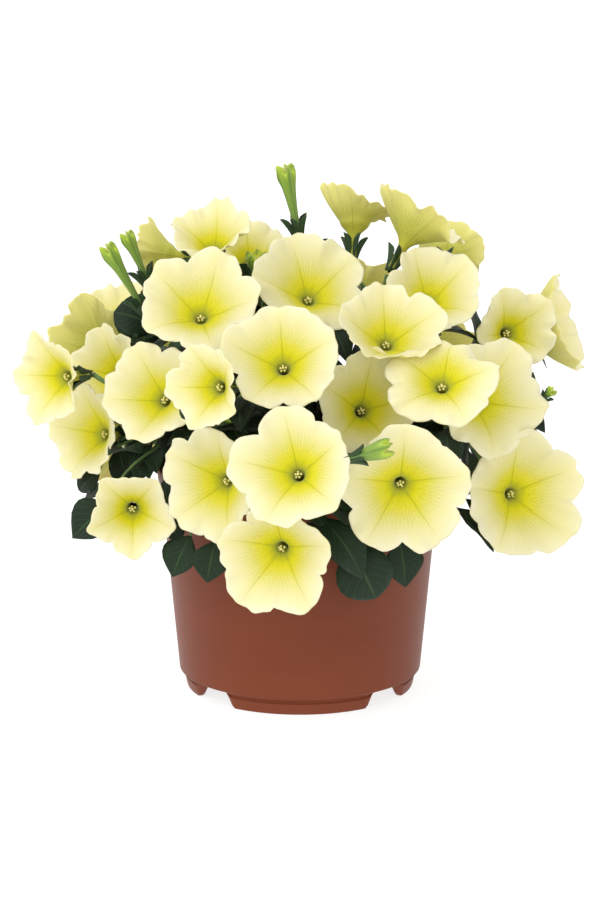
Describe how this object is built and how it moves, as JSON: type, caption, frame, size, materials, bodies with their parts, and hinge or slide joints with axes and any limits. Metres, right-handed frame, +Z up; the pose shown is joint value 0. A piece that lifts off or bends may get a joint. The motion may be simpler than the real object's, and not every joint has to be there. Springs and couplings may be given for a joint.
{
  "type": "potted petunia",
  "caption": "Bushy trailing petunia with pale yellow trumpet flowers, buds and dark green leaves, growing from soil in a tapered terracotta-coloured plastic pot.",
  "frame": {"origin": "on the pot's axis, in the plane that the pot's feet stand on", "axes": "+Z up; -Y is the side that the flowers face most, the front; +X is to the right of the front"},
  "size_m": [0.2758, 0.286, 0.2588],
  "materials": {
    "pot_plastic": "thin moulded plastic with a faint sheen, terracotta colour",
    "soil": "damp crumbly potting mix",
    "petals": "soft thin petal, cream at the edge and yellow in the throat",
    "bud_petals": "rolled yellow-green petals",
    "foliage": "dark green, finely hairy leaves and stems"
  },
  "bodies": {
    "root": {"bud_01": "bud_petals", "bud_02": "bud_petals", "bud_03": "bud_petals", "bud_04": "bud_petals", "bud_05": "bud_petals", "bud_06": "bud_petals", "bud_07": "bud_petals", "flower_01": "petals", "flower_02": "petals", "flower_03": "petals", "flower_04": "petals", "flower_05": "petals", "flower_06": "petals", "flower_07": "petals", "flower_08": "petals", "flower_09": "petals", "flower_10": "petals", "flower_11": "petals", "flower_12": "petals", "flower_13": "petals", "flower_14": "petals", "flower_15": "petals", "flower_16": "petals", "flower_17": "petals", "flower_18": "petals", "flower_19": "petals", "flower_20": "petals", "flower_21": "petals", "flower_22": "petals", "flower_23": "petals", "flower_24": "petals", "flower_25": "petals", "flower_26": "petals", "flower_27": "petals", "flower_28": "petals", "flower_29": "petals", "flower_30": "petals", "flower_31": "petals", "flower_32": "petals", "flower_33": "petals", "flower_34": "petals", "flower_35": "petals", "flower_36": "petals", "flower_37": "petals", "flower_38": "petals", "flower_39": "petals", "pot": "pot_plastic", "potting_soil": "soil", "shoot_back": "foliage", "shoot_back_left": "foliage", "shoot_back_right": "foliage", "shoot_front": "foliage", "shoot_front_left": "foliage", "shoot_front_right": "foliage", "shoot_left": "foliage", "shoot_right": "foliage", "shoot_top": "foliage", "shoot_top_left": "foliage", "shoot_top_right": "foliage"}
  },
  "joints": []
}
